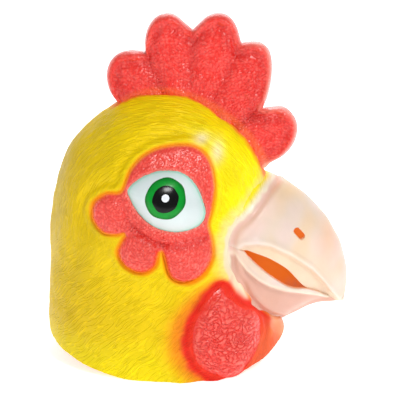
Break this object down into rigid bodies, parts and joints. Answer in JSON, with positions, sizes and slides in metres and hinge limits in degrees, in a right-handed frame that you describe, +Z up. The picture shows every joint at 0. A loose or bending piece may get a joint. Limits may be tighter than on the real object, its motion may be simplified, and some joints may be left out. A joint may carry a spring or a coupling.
{
  "type": "rooster mask",
  "caption": "Over-the-head latex rooster mask with a hooked hollow beak, a lobed comb, painted eyes and wattles, open at the neck.",
  "frame": {"origin": "middle of the mask's footprint, on the plane that the neck hem stands on", "axes": "+X to where the beak points, +Y to the mask's left side, +Z up to the comb"},
  "size_m": [0.333, 0.219, 0.3712],
  "materials": {
    "yellow_latex": "yellow latex skin carved with short feather strokes, airbrushed",
    "cream_latex": "smooth satin cream latex with a pink blush",
    "red_latex": "pebbled coral red latex",
    "eye_white_paint": "glossy white paint on latex",
    "eye_green_paint": "glossy green paint on latex",
    "eye_black_paint": "glossy black paint on latex",
    "comb_foam": "soft open-cell foam, sealed inside the comb"
  },
  "bodies": {
    "head": {"head_skin": "yellow_latex", "upper_beak": "cream_latex", "eye_patch_right": "red_latex", "eye_white_right": "eye_white_paint", "iris_right": "eye_green_paint", "pupil_right": "eye_black_paint", "catchlight_right": "eye_white_paint", "wattle_right": "red_latex", "eye_patch_left": "red_latex", "eye_white_left": "eye_white_paint", "iris_left": "eye_green_paint", "pupil_left": "eye_black_paint", "catchlight_left": "eye_white_paint", "wattle_left": "red_latex"},
    "comb": {"comb_skin": "red_latex", "comb_foam_core": "comb_foam"},
    "lower_jaw": {"lower_beak": "cream_latex"}
  },
  "joints": [
    {"name": "comb_sway", "type": "hinge", "parent": "head", "child": "comb", "pos_m": [0.0015, 0, 0.257], "axis": [0.9185, 0, -0.3953], "range_deg": [-8, 8], "stiffness_Nm_per_rad": 0.6},
    {"name": "lower_beak_flex", "type": "hinge", "parent": "head", "child": "lower_jaw", "pos_m": [0.0345, 0, 0.13], "axis": [0, 1, 0], "range_deg": [0, 3], "stiffness_Nm_per_rad": 6}
  ]
}
